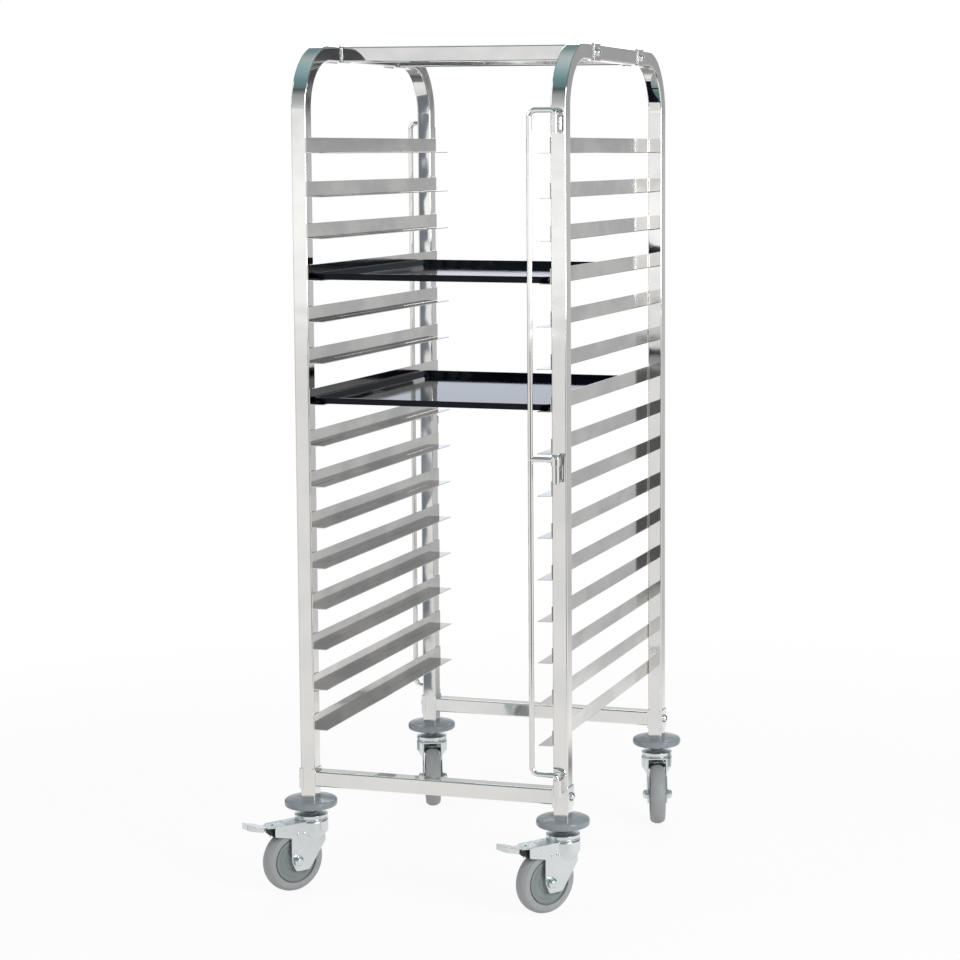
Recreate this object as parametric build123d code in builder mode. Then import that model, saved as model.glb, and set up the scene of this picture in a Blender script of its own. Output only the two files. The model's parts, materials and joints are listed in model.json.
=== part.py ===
from build123d import *
import os

# Bakery tray trolley, millimetres. X is across the trays, +Y runs to the back, +Z is up,
# and the origin is on the floor in the middle between the four swivel axes.

# Side frames: one square tube each, bent into an upturned U
tube = 30.0
tube_wall = 1.5
tube_corner = 3.0
post_span_x = 520.0
post_span_y = 660.0
frame_top = 1645.0
bend_radius = 110.0

# Runners and tiers
tiers = 15
first_tier_drop = 178.0
first_gap = 83.5
tier_pitch = 79.7
runner_height = 30.0
runner_ledge = 28.0
runner_sheet = 1.5
runner_bend = 2.5

# Cross rails, their saddles and bolts
top_rail_offset = 150.0
foot_to_rail = 39.5
saddle_length = 40.0
saddle_sheet = 2.0
saddle_lip = 6.0
saddle_round = 1.8
bolt_shank = 8.0
bolt_play = 0.25
bolt_head = 17.0
bolt_head_height = 6.5
bolt_dome = 4.5
nut_width = 13.0
nut_height = 6.5
thread_play = 0.02

# Retaining rods and the sleeves that they hang in
rod = 10.0
rod_standoff = 20.0
rod_reach = 50.0
rod_bend = 14.0
rod_pin_bend = 8.0
rod_play = 0.05
rod_seat = 0.3
rod_overrun = 3.0
sleeve = 15.0
sleeve_length = 32.0
sleeve_tab = 6.0
sleeve_tab_height = 24.0
top_sleeve_drop = 168.0
middle_sleeve_z = 825.0
bottom_sleeve_z = 227.0
rear_rod_drop = 16.0
knuckle = 18.0
knuckle_height = 19.0
knuckle_round = 5.0
strut_rise = 11.0

# Trays
tray_depth = 600.0
tray_height = 13.0
tray_sheet = 1.0
tray_corner = 16.0
tray_flare = 8.0
tray_rim = 3.5
tray_rim_height = 2.0
tray_side_play = 2.5
tray_seat = 0.3
tray_setback = 3.0
upper_tray_tier = 4
lower_tray_tier = 7

# Wheels
wheel = 125.0
tread = 32.0
tread_crown = 2.2
tread_flat = 20.0
sidewall_reach = 50.0
rim = 84.0
rim_width = 26.0
rim_groove = 2.5
hub_width = 33.0
hub_boss = 26.0
hub_web = 22.0
hub_web_reach = 33.0
trail = 43.0

# Axles
axle = 10.0
axle_play = 0.05
axle_washer = 22.0
axle_washer_height = 1.5
axle_head = 17.0
axle_head_height = 5.5
collar = 17.0
collar_gap = 0.3

# Forks: a round drum on two flat legs, all drawn from one sheet
leg_sheet = 3.0
leg_gap = 37.0
crown = 66.0
crown_clearance = 9.5
crown_round = 4.0
drum_low = 114.0
drum_foot = 97.0
drum_round = 9.0
drum_opening = 19.0
leg_low_z = 42.0
leg_front = 56.0
leg_foot_front = 47.0
leg_foot_rear = 17.0
leg_waist_x = -7.0
leg_waist_z = 77.0
leg_corner = 7.0
lug_reach = 91.0
lug_drop = 20.0
lug_root_drop = 28.0
lug_corner = 2.0
lug_slot_start = 60.0

# Stems with their ball races
kingpin = 16.0
kingpin_play = 0.05
kingpin_head = 24.0
kingpin_head_height = 4.0
race_gap = 0.3
race = 64.0
race_groove = 2.0
race_height = 3.5
cap = 65.0
cap_height = 6.0
cap_dome = 5.0
thread = 18.0
thread_height = 1.0
neck_width = 26.0
neck_height = 6.7
plug_play = 0.3
plug_height = 28.0

# Bumper discs
bumper = 103.0
bumper_height = 20.0
bumper_flat = 44.0
bumper_edge = 11.0
bumper_edge_round = 5.0
bumper_crown_round = 30.0
bumper_play = 0.3

# Brakes of the front castors
pivot_reach = 70.0
pivot_drop = 10.0
pin = 6.0
pin_play = 0.05
pedal_sheet = 3.0
pedal_side_play = 0.5
pedal_back = 9.0
pedal_ear = 14.0
pedal_shoulder = 90.0
pedal_waist_start = 100.0
pedal_waist = 26.0
pedal_waist_end = 105.0
pedal_plate_start = 117.0
pedal_plate = 42.0
pedal_tip = 147.0
pedal_tip_width = 34.0
pedal_tip_round = 11.0
pedal_corner = 4.0
pedal_rise = 12.0
pedal_slot = 10.0
pedal_slot_reach = 87.0
shoe_width = 28.0
shoe_start = 76.0
shoe_end = 97.0
shoe_round = 1.5
shoe_gap = 3.5
shoe_toe_gap = 6.5

# Heights and faces that follow from the sizes above
wheel_radius = wheel / 2
crown_low = wheel + crown_clearance
crown_top = crown_low + leg_sheet
race_low = crown_top + race_gap
cap_low = race_low + race_height
cap_top = cap_low + cap_height + cap_dome
neck_low = cap_top + thread_height
bumper_low = neck_low + neck_height
post_foot = bumper_low + bumper_height
post_x = post_span_x / 2
post_y = post_span_y / 2
inner_face = post_x - tube / 2
outer_face = post_x + tube / 2
end_face = post_y + tube / 2
tube_bore = tube - 2 * tube_wall
low_rail_z = post_foot + foot_to_rail
top_rail_z = frame_top - tube / 2
first_tier_top = frame_top - first_tier_drop
top_sleeve_z = frame_top - top_sleeve_drop
leg_outer = leg_gap / 2 + leg_sheet
pivot_z = crown_top - pivot_drop
pedal_low = crown_top - pedal_sheet
bolt_spots = [
    (-top_rail_offset, top_rail_z),
    (top_rail_offset, top_rail_z),
    (-post_y, low_rail_z),
    (post_y, low_rail_z),
]


def tier_top(number):
    """Height of the upper edge of a tier's runners; the gap under the first is the larger."""
    if number == 1:
        return first_tier_top
    return first_tier_top - first_gap - (number - 2) * tier_pitch


def save(part, name):
    part.label = name
    export_step(part, f"parts/{name}.step")


os.makedirs("parts", exist_ok=True)


# Side frames, drilled through for the bolts of the cross rails
def side_frame(side):
    x = side * post_x
    with BuildPart() as frame:
        with BuildLine() as bend:
            FilletPolyline(
                (x, -post_y, post_foot),
                (x, -post_y, top_rail_z),
                (x, post_y, top_rail_z),
                (x, post_y, post_foot),
                radius=bend_radius,
            )
        with BuildSketch(Plane((x, -post_y, post_foot), x_dir=(1, 0, 0), z_dir=(0, 0, 1))):
            RectangleRounded(tube, tube, tube_corner)
            RectangleRounded(tube_bore, tube_bore, tube_corner - tube_wall, mode=Mode.SUBTRACT)
        sweep(path=bend.wires()[0])
        with BuildSketch(Plane.YZ.offset(x)):
            with Locations(bolt_spots):
                Circle(bolt_shank / 2 + bolt_play)
        extrude(amount=tube, both=True, mode=Mode.SUBTRACT)
    return frame.part


save(side_frame(-1), "left_side_frame")
save(side_frame(1), "right_side_frame")


# Runners: a pair of L-sections for each tier, welded to the inner faces of the posts
for number in range(1, tiers + 1):
    high = tier_top(number)
    with BuildPart() as runners:
        with BuildSketch(Plane.XZ.offset(-end_face)):
            with BuildLine():
                FilletPolyline(
                    (inner_face, high),
                    (inner_face, high - runner_height),
                    (inner_face - runner_ledge, high - runner_height),
                    (inner_face - runner_ledge, high - runner_height + runner_sheet),
                    (inner_face - runner_sheet, high - runner_height + runner_sheet),
                    (inner_face - runner_sheet, high),
                    radius=[0, runner_bend, 0, 0, runner_bend - runner_sheet, 0],
                    close=True,
                )
            make_face()
        extrude(amount=2 * end_face)
        mirror(about=Plane.YZ)
    save(runners.part, f"tier_{number:02d}_runners")


# Cross rails, each with a saddle and a weld nut at both ends
def saddle(plane, face, way):
    """A shallow U clasping the tube: its web lies on the tube's face, its lips point along X."""
    with BuildSketch(plane) as section:
        with Locations((face + way * (saddle_lip - saddle_sheet) / 2, 0)):
            Rectangle(saddle_lip + saddle_sheet, tube + 2 * saddle_sheet)
        web = section.vertices().sort_by(Axis.X, reverse=way < 0)[:2]
        fillet(web, saddle_round)
        with Locations((face + way * saddle_lip / 2, 0)):
            Rectangle(saddle_lip, tube, mode=Mode.SUBTRACT)
    return section.sketch


def saddle_plane(y, z):
    """Across the tube: level where it is a post, upright where it is the frame's top."""
    if z > low_rail_z:
        return Plane((0, y, z), x_dir=(1, 0, 0), z_dir=(0, -1, 0))
    return Plane((0, y, z), x_dir=(1, 0, 0), z_dir=(0, 0, 1))


def cross_rail(y, z):
    half = inner_face - saddle_sheet
    with BuildPart() as rail:
        with BuildSketch(Plane.YZ.offset(-half)):
            with Locations((y, z)):
                RectangleRounded(tube, tube, tube_corner)
                RectangleRounded(tube_bore, tube_bore, tube_corner - tube_wall, mode=Mode.SUBTRACT)
        extrude(amount=2 * half)
        extrude(saddle(saddle_plane(y, z), inner_face, 1), amount=saddle_length / 2, both=True)
        with BuildSketch(Plane.YZ.offset(half)):
            with Locations((y, z)):
                RegularPolygon(nut_width / 2, 6, major_radius=False)
        extrude(amount=-nut_height)
        with BuildSketch(Plane.YZ.offset(inner_face)):
            with Locations((y, z)):
                Circle(bolt_shank / 2 + thread_play)
        extrude(amount=-saddle_sheet - nut_height, mode=Mode.SUBTRACT)
        split(bisect_by=Plane.YZ, keep=Keep.TOP)
        mirror(about=Plane.YZ)
    return rail.part


save(cross_rail(-top_rail_offset, top_rail_z), "front_top_rail")
save(cross_rail(top_rail_offset, top_rail_z), "rear_top_rail")
save(cross_rail(-post_y, low_rail_z), "front_bottom_rail")
save(cross_rail(post_y, low_rail_z), "rear_bottom_rail")

# Loose saddles on the outer faces of the side frames
with BuildPart() as outer_saddles:
    for y, z in bolt_spots:
        extrude(saddle(saddle_plane(y, z), outer_face, -1), amount=saddle_length / 2, both=True)
    with BuildSketch(Plane.YZ.offset(outer_face)):
        with Locations(bolt_spots):
            Circle(bolt_shank / 2 + bolt_play)
    extrude(amount=saddle_sheet, mode=Mode.SUBTRACT)
    mirror(about=Plane.YZ)
save(outer_saddles.part, "outer_saddles")

# Bolts with domed heads, through the outer saddle and the tube into the weld nut
with BuildPart() as saddle_bolts:
    with BuildSketch(Plane.YZ.offset(outer_face + saddle_sheet)):
        with Locations(bolt_spots):
            Circle(bolt_head / 2)
    extrude(amount=bolt_head_height)
    fillet(saddle_bolts.edges().group_by(Axis.X)[-1], bolt_dome)
    with BuildSketch(Plane.YZ.offset(outer_face + saddle_sheet)):
        with Locations(bolt_spots):
            Circle(bolt_shank / 2)
    extrude(amount=-(tube + 2 * saddle_sheet + nut_height))
    mirror(about=Plane.YZ)
save(saddle_bolts.part, "saddle_bolts")


# Hinge sleeves on weld tabs, three on the front of one post and three on the back of another
def sleeves(side, end, drop):
    x = side * post_x
    y = end * (end_face + rod_standoff)
    bottom, middle, top = bottom_sleeve_z - drop, middle_sleeve_z - drop, top_sleeve_z - drop
    with BuildPart() as part:
        for low in (bottom, middle, top):
            with BuildSketch(Plane.XY.offset(low)):
                with Locations((x, y)):
                    Circle(sleeve / 2)
            extrude(amount=sleeve_length)
            with BuildSketch(Plane.XY.offset(low + (sleeve_length - sleeve_tab_height) / 2)):
                with Locations((x, end * (end_face + rod_standoff / 2))):
                    Rectangle(sleeve_tab, rod_standoff)
            extrude(amount=sleeve_tab_height)
        with BuildSketch(Plane.XY.offset(bottom)):
            with Locations((x, y)):
                Circle(rod / 2 + rod_play)
        extrude(amount=top + sleeve_length - bottom, mode=Mode.SUBTRACT)
    return part.part


save(sleeves(1, -1, 0), "front_rod_sleeves")
save(sleeves(-1, 1, rear_rod_drop), "rear_rod_sleeves")


# Retaining rods: a bar bent back into the top and bottom sleeves, with a strut to the middle one
def retaining_rod(side, end, drop):
    x = side * post_x
    y = end * (end_face + rod_standoff)
    bar_x = x - rod_reach
    arm = sleeve_length + rod_seat + rod_pin_bend
    bottom, top = bottom_sleeve_z - drop, top_sleeve_z - drop
    low = bottom - rod_overrun
    knuckle_low = middle_sleeve_z - drop + sleeve_length + rod_seat
    with BuildPart() as part:
        with BuildLine() as bend:
            FilletPolyline(
                (x, y, low),
                (x, y, bottom + arm),
                (bar_x, y, bottom + arm),
                (bar_x, y, top + arm),
                (x, y, top + arm),
                (x, y, top - rod_overrun),
                radius=[rod_pin_bend, rod_bend, rod_bend, rod_pin_bend],
            )
        with BuildSketch(Plane.XY.offset(low)):
            with Locations((x, y)):
                Circle(rod / 2)
        sweep(path=bend.wires()[0])
        with BuildSketch(Plane.YZ.offset(bar_x)):
            with Locations((y, knuckle_low + strut_rise)):
                Circle(rod / 2 - rod_play)
        extrude(amount=rod_reach)
        with BuildSketch(Plane.XY.offset(knuckle_low)):
            with Locations((x, y)):
                Circle(knuckle / 2)
        extrude(amount=knuckle_height)
        knuckle_top = knuckle_low + knuckle_height
        lid = part.faces().filter_by_position(Axis.Z, knuckle_top - 0.1, knuckle_top + 0.1)
        fillet(lid.edges(), knuckle_round)
        with BuildSketch(Plane.XY.offset(knuckle_low)):
            with Locations((x, y)):
                Circle(rod / 2)
        extrude(amount=-(sleeve_length + rod_seat + rod_overrun))
    return part.part


save(retaining_rod(1, -1, 0), "front_rod")
save(retaining_rod(-1, 1, rear_rod_drop), "rear_rod")


# Trays: a flared pan with a flat rim, resting on the ledges of its tier
def tray(tier):
    low = tier_top(tier) - runner_height + runner_sheet + tray_seat
    width = 2 * (inner_face - runner_sheet - tray_side_play)
    middle = -end_face + tray_setback + tray_depth / 2
    wall_width = width - 2 * tray_rim
    wall_depth = tray_depth - 2 * tray_rim
    floor_corner = tray_corner - tray_rim
    skin = tray_sheet
    with BuildPart() as part:
        with BuildSketch(Plane((0, middle, low))):
            RectangleRounded(wall_width - 2 * tray_flare, wall_depth - 2 * tray_flare, floor_corner)
        with BuildSketch(Plane((0, middle, low + tray_height))):
            RectangleRounded(wall_width, wall_depth, floor_corner)
        loft()
        with BuildSketch(Plane((0, middle, low + tray_height - tray_rim_height))):
            RectangleRounded(width, tray_depth, tray_corner)
        extrude(amount=tray_rim_height)
        with BuildSketch(Plane((0, middle, low + skin))) as floor:
            inset = 2 * (tray_flare + skin)
            RectangleRounded(wall_width - inset, wall_depth - inset, floor_corner - skin)
        with BuildSketch(Plane((0, middle, low + tray_height))) as mouth:
            RectangleRounded(wall_width - 2 * skin, wall_depth - 2 * skin, floor_corner - skin)
        loft([floor.sketch, mouth.sketch], mode=Mode.SUBTRACT)
    return part.part


save(tray(upper_tray_tier), "upper_tray")
save(tray(lower_tray_tier), "lower_tray")


# Castor parts, built on a swivel axis at the origin with the wheel trailing along +X
def bumper_disc():
    bore = thread / 2 + bumper_play
    middle = bumper_low + bumper_height / 2
    edge = bumper_edge / 2
    with BuildPart() as disc:
        with BuildSketch(Plane.XZ):
            with BuildLine():
                FilletPolyline(
                    (bore, bumper_low),
                    (bumper_flat / 2, bumper_low),
                    (bumper / 2, middle - edge),
                    (bumper / 2, middle + edge),
                    (bumper_flat / 2, post_foot),
                    (bore, post_foot),
                    radius=[
                        0,
                        bumper_crown_round,
                        bumper_edge_round,
                        bumper_edge_round,
                        bumper_crown_round,
                        0,
                    ],
                    close=True,
                )
            make_face()
        revolve(axis=Axis.Z)
    return disc.part


def stem():
    """Kingpin, ball race, cap, threaded neck with its nut, and the plug inside the post."""
    with BuildPart() as part:
        with BuildSketch(Plane.XZ):
            with BuildLine():
                Polyline(
                    (0, crown_low - race_gap - kingpin_head_height),
                    (kingpin_head / 2, crown_low - race_gap - kingpin_head_height),
                    (kingpin_head / 2, crown_low - race_gap),
                    (kingpin / 2, crown_low - race_gap),
                    (kingpin / 2, race_low),
                    (race / 2, race_low),
                    (race / 2, race_low + race_height / 2),
                    (race / 2 - race_groove, race_low + race_height / 2),
                    (race / 2 - race_groove, cap_low),
                    (cap / 2, cap_low),
                    (cap / 2, cap_low + cap_height),
                    (neck_width / 2, cap_top),
                    (thread / 2, cap_top),
                    (thread / 2, post_foot + plug_height),
                    (0, post_foot + plug_height),
                    close=True,
                )
            make_face()
        revolve(axis=Axis.Z)
        with BuildSketch(Plane.XY.offset(neck_low)):
            RegularPolygon(neck_width / 2, 6, major_radius=False)
        extrude(amount=neck_height)
        with BuildSketch(Plane.XY.offset(post_foot)):
            plug = tube_bore - 2 * plug_play
            RectangleRounded(plug, plug, tube_corner - tube_wall)
        extrude(amount=plug_height)
    return part.part


def bell(shrink):
    """The drum's round outline, narrowing to the legs; a smaller one hollows it."""
    reach = crown / 2 - shrink
    with BuildSketch(Plane.XZ) as half_section:
        with BuildLine():
            FilletPolyline(
                (0, drum_foot - shrink),
                (leg_outer - shrink, drum_foot - shrink),
                (reach, drum_low - shrink / 2),
                (reach, crown_top - shrink),
                (0, crown_top - shrink),
                radius=[0, 0, drum_round, crown_round - shrink, 0],
                close=True,
            )
        make_face()
    return half_section.sketch


def fork_side(braked):
    """Side view of the fork: drum, slanted rear edge, leg and, with a brake, the lug."""
    half = crown / 2
    front = [(half, crown_top), (half, drum_foot)]
    bends = [0, leg_corner]
    if braked:
        front = [
            (lug_reach, crown_top),
            (lug_reach, crown_top - lug_drop),
            (leg_front, crown_top - lug_root_drop),
        ]
        bends = [lug_corner, lug_corner, lug_corner]
    with BuildSketch(Plane.XZ) as view:
        with BuildLine():
            FilletPolyline(
                (-half, crown_top),
                *front,
                (leg_front, wheel_radius),
                (leg_foot_front, leg_low_z),
                (leg_foot_rear, leg_low_z),
                (leg_waist_x, leg_waist_z),
                (-half, drum_low),
                radius=[0, *bends, leg_corner, leg_corner, leg_corner, leg_corner, 0],
                close=True,
            )
        make_face()
    return view.sketch


def fork(braked):
    """Drawn sheet: a bell-shaped drum joined to a channel, cut to the side view."""
    reach = lug_reach if braked else leg_front
    height = crown_top - leg_low_z
    with BuildPart() as part:
        revolve(bell(0), axis=Axis.Z)
        with BuildSketch(Plane.XY.offset(leg_low_z)):
            with Locations((reach / 2, 0)):
                Rectangle(reach, 2 * leg_outer)
            with Locations((-drum_opening / 2, 0)):
                Rectangle(drum_opening, 2 * leg_outer)
        extrude(amount=height)
        extrude(fork_side(braked), amount=crown, both=True, mode=Mode.INTERSECT)
        revolve(bell(leg_sheet), axis=Axis.Z, mode=Mode.SUBTRACT)
        with BuildSketch(Plane.XY.offset(leg_low_z)):
            with Locations(((reach - drum_opening) / 2, 0)):
                Rectangle(reach + drum_opening, leg_gap)
        extrude(amount=height - leg_sheet, mode=Mode.SUBTRACT)
        with BuildSketch(Plane.XY):
            Circle(kingpin / 2 + kingpin_play)
        extrude(amount=crown_top, mode=Mode.SUBTRACT)
        with BuildSketch(Plane.XZ):
            with Locations((trail, wheel_radius)):
                Circle(axle / 2 + thread_play)
        extrude(amount=crown, both=True, mode=Mode.SUBTRACT)
        if braked:
            slot = lug_reach - lug_slot_start
            with BuildSketch(Plane.XY.offset(crown_low - leg_sheet)):
                with Locations((lug_slot_start + slot / 2, 0)):
                    Rectangle(slot, leg_gap)
            extrude(amount=3 * leg_sheet, mode=Mode.SUBTRACT)
            with BuildSketch(Plane.XZ):
                with Locations((pivot_reach, pivot_z)):
                    Circle(pin / 2 + thread_play)
            extrude(amount=crown, both=True, mode=Mode.SUBTRACT)
            with BuildSketch(Plane.XZ):
                with Locations((pivot_reach, pivot_z)):
                    Circle(pin / 2)
            extrude(amount=leg_outer, both=True)
    return part.part


def axle_set():
    """Bolt, nut and two spacer collars on the wheel's axis."""
    with BuildPart() as part:
        with BuildSketch(Plane.XZ.offset(-leg_outer)):
            with Locations((trail, wheel_radius)):
                Circle(axle_washer / 2)
        extrude(amount=-axle_washer_height)
        with BuildSketch(Plane.XZ.offset(-leg_outer - axle_washer_height)):
            with Locations((trail, wheel_radius)):
                Circle(axle_head / 2)
        extrude(amount=-axle_head_height)
        with BuildSketch(Plane.XZ.offset(-leg_outer)):
            with Locations((trail, wheel_radius)):
                Circle(axle / 2)
        extrude(amount=2 * leg_outer + axle_washer_height + axle_head_height)
        with BuildSketch(Plane.XZ.offset(leg_outer)):
            with Locations((trail, wheel_radius)):
                RegularPolygon(axle_head / 2, 6, major_radius=False)
                Circle(axle / 2 + thread_play, mode=Mode.SUBTRACT)
        extrude(amount=axle_washer_height + axle_head_height)
        for start in (-leg_gap / 2, hub_width / 2 + collar_gap):
            with BuildSketch(Plane.XZ.offset(start)):
                with Locations((trail, wheel_radius)):
                    Circle(collar / 2)
                    Circle(axle / 2 + thread_play, mode=Mode.SUBTRACT)
            extrude(amount=(leg_gap - hub_width) / 2 - collar_gap)
    return part.part


wheel_axis = Axis((trail, 0, wheel_radius), (0, 1, 0))


def wheel_plane():
    """Half section of the wheel: outward from its axis along X, across it along Y."""
    return Plane((trail, 0, wheel_radius), x_dir=(1, 0, 0), z_dir=(0, 0, 1))


def hub():
    with BuildPart() as part:
        with BuildSketch(wheel_plane()):
            with BuildLine():
                bore = axle / 2 + axle_play
                Polyline(
                    (bore, 0),
                    (bore, hub_width / 2),
                    (hub_boss / 2, hub_width / 2),
                    (hub_boss / 2 + 2, hub_web / 2),
                    (hub_web_reach, hub_web / 2),
                    (hub_web_reach + 2, rim_width / 2),
                    (rim / 2, rim_width / 2),
                    (rim / 2, 0),
                )
                mirror(about=Plane.XZ)
            make_face()
        revolve(axis=wheel_axis)
    return part.part


def tyre():
    with BuildPart() as part:
        with BuildSketch(wheel_plane()):
            with BuildLine():
                shoulder = wheel_radius - tread_crown
                flat = tread_flat / 2
                side = tread / 2
                groove = rim / 2 + rim_groove
                Polyline(
                    (rim / 2, 0),
                    (rim / 2, rim_width / 2),
                    (groove, rim_width / 2),
                    (groove, side - 1),
                    (sidewall_reach, side),
                )
                TangentArc((sidewall_reach, side), (shoulder, flat), tangent=(1, 0))
                ThreePointArc((shoulder, flat), (wheel_radius - tread_crown / 4, flat / 2), (wheel_radius, 0))
                mirror(about=Plane.XZ)
            make_face()
        revolve(axis=wheel_axis)
    return part.part


def pedal():
    """Lever of one sheet: ears on the pin, a flat with a triangular hole, a raised foot plate."""
    inside = leg_gap / 2 - pedal_side_play
    back = pivot_reach - pedal_back
    with BuildPart() as part:
        with BuildSketch(Plane.XZ):
            with BuildLine():
                Polyline(
                    (back, pedal_low),
                    (pedal_waist_end, pedal_low),
                    (pedal_tip, pedal_low + pedal_rise),
                    (pedal_tip, pedal_low + pedal_rise + pedal_sheet),
                    (pedal_waist_end, pedal_low + pedal_sheet),
                    (back, pedal_low + pedal_sheet),
                    close=True,
                )
            make_face()
        extrude(amount=pedal_plate / 2, both=True)
        with BuildSketch(Plane.XZ):
            with Locations((pivot_reach, pivot_z)):
                Circle(pedal_ear / 2)
            with Locations((pivot_reach, (pivot_z + crown_top) / 2)):
                Rectangle(pedal_ear, pivot_drop)
        extrude(amount=inside, both=True)
        with BuildSketch(Plane.XZ):
            with Locations((pivot_reach, pedal_low - pedal_ear)):
                Rectangle(2 * pedal_ear, 2 * pedal_ear)
        extrude(amount=inside - pedal_sheet, both=True, mode=Mode.SUBTRACT)
        with BuildSketch(Plane.XY):
            with BuildLine():
                FilletPolyline(
                    (back, -inside),
                    (pedal_shoulder, -inside),
                    (pedal_waist_start, -pedal_waist / 2),
                    (pedal_waist_end, -pedal_waist / 2),
                    (pedal_plate_start, -pedal_plate / 2),
                    (pedal_tip, -pedal_tip_width / 2),
                    (pedal_tip, pedal_tip_width / 2),
                    (pedal_plate_start, pedal_plate / 2),
                    (pedal_waist_end, pedal_waist / 2),
                    (pedal_waist_start, pedal_waist / 2),
                    (pedal_shoulder, inside),
                    (back, inside),
                    radius=[
                        0,
                        pedal_corner,
                        pedal_corner,
                        pedal_corner,
                        pedal_corner,
                        pedal_tip_round,
                        pedal_tip_round,
                        pedal_corner,
                        pedal_corner,
                        pedal_corner,
                        pedal_corner,
                        0,
                    ],
                    close=True,
                )
            make_face()
            with Locations((pedal_slot_reach, 0)):
                RegularPolygon(pedal_slot / 2, 3, mode=Mode.SUBTRACT)
        extrude(amount=pedal_low + pedal_rise + 2 * pedal_sheet, mode=Mode.INTERSECT)
        with BuildSketch(Plane.XZ):
            with Locations((pivot_reach, pivot_z)):
                Circle(pin / 2 + pin_play)
        extrude(amount=crown, both=True, mode=Mode.SUBTRACT)
    return part.part


def shoe():
    """Wedge under the pedal's flat; its slanted face looks at the tyre."""
    toe_x = shoe_end - 2 * pedal_sheet
    heel = ((wheel_radius + shoe_gap) ** 2 - (shoe_start - trail) ** 2) ** 0.5
    toe = ((wheel_radius + shoe_toe_gap) ** 2 - (toe_x - trail) ** 2) ** 0.5
    with BuildPart() as part:
        with BuildSketch(Plane.XZ):
            with BuildLine():
                FilletPolyline(
                    (shoe_start, pedal_low),
                    (shoe_start, wheel_radius + heel),
                    (toe_x, wheel_radius + toe),
                    (shoe_end, pedal_low),
                    radius=[0, shoe_round, shoe_round, 0],
                    close=True,
                )
            make_face()
        extrude(amount=shoe_width / 2, both=True)
        with BuildSketch(Plane.XY):
            with Locations((pedal_slot_reach, 0)):
                Circle(pedal_slot / 2)
        extrude(amount=pedal_low + pedal_sheet, mode=Mode.SUBTRACT)
    return part.part


# The four castors: side, end, heading of the trail in degrees, and whether it has a brake
castors = {
    "front_left": (-1, -1, 234, True),
    "front_right": (1, -1, 234, True),
    "rear_left": (-1, 1, -67, False),
    "rear_right": (1, 1, -72, False),
}
pieces = {
    "bumper": bumper_disc(),
    "stem": stem(),
    "axle": axle_set(),
    "hub": hub(),
    "tyre": tyre(),
    "pedal": pedal(),
    "shoe": shoe(),
}
forks = {True: fork(True), False: fork(False)}
for name, (side, end, heading, braked) in castors.items():
    stand = Location((side * post_x, end * post_y, 0), (0, 0, heading))
    post = Location((side * post_x, end * post_y, 0))
    for piece in ("bumper", "stem"):
        save(pieces[piece].moved(post), f"{name}_{piece}")
    save(forks[braked].moved(stand), f"{name}_fork")
    for piece in ("axle", "hub", "tyre"):
        save(pieces[piece].moved(stand), f"{name}_{piece}")
    if braked:
        for piece in ("pedal", "shoe"):
            save(pieces[piece].moved(stand), f"{name}_{piece}")
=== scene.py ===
# %% [markdown]
# # A bakery tray trolley
#
# The trolley is polished steel tube, satin steel runners, two black trays and four castors.
# The measured model comes in first. It fixes every size and every joint, so this lesson only
# adds what the eye needs: smooth bends, weld beads, rivets, grooved wheels and finishes.

# %% Load the measured model
import json
import math

import bmesh
import bpy
from mathutils import Matrix, Vector


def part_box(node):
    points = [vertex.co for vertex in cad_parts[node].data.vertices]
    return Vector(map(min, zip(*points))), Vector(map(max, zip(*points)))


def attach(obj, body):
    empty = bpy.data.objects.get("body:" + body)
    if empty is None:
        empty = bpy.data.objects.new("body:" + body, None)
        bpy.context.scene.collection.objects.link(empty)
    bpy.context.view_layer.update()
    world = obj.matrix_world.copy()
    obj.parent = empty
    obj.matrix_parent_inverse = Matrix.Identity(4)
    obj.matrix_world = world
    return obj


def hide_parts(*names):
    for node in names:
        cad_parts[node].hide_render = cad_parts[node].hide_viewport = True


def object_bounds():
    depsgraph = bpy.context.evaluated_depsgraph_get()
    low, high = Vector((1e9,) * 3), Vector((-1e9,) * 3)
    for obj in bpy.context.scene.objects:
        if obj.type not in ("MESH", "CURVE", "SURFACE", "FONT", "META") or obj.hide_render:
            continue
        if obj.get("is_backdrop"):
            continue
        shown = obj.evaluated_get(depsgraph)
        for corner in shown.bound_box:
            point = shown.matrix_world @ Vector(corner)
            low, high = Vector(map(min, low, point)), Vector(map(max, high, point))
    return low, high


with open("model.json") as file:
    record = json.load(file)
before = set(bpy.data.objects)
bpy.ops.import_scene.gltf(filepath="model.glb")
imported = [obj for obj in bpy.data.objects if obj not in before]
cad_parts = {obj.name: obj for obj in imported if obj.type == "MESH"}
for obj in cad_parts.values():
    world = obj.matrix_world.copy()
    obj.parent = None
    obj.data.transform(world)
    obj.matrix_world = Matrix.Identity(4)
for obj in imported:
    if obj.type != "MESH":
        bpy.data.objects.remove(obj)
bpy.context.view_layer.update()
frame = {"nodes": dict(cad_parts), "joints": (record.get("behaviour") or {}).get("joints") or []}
joints = {joint["name"]: joint for joint in frame["joints"]}
print("nodes:", len(frame["nodes"]), "joints:", len(joints))

# %% [markdown]
# ## Camera
#
# The photograph was taken from the right, a little below the height of the top rails. A long
# lens keeps the posts nearly parallel. The lens doesn't point at the middle of the picture,
# so it is shifted sideways and in height. A turn of the camera would tilt the posts instead.

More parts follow.
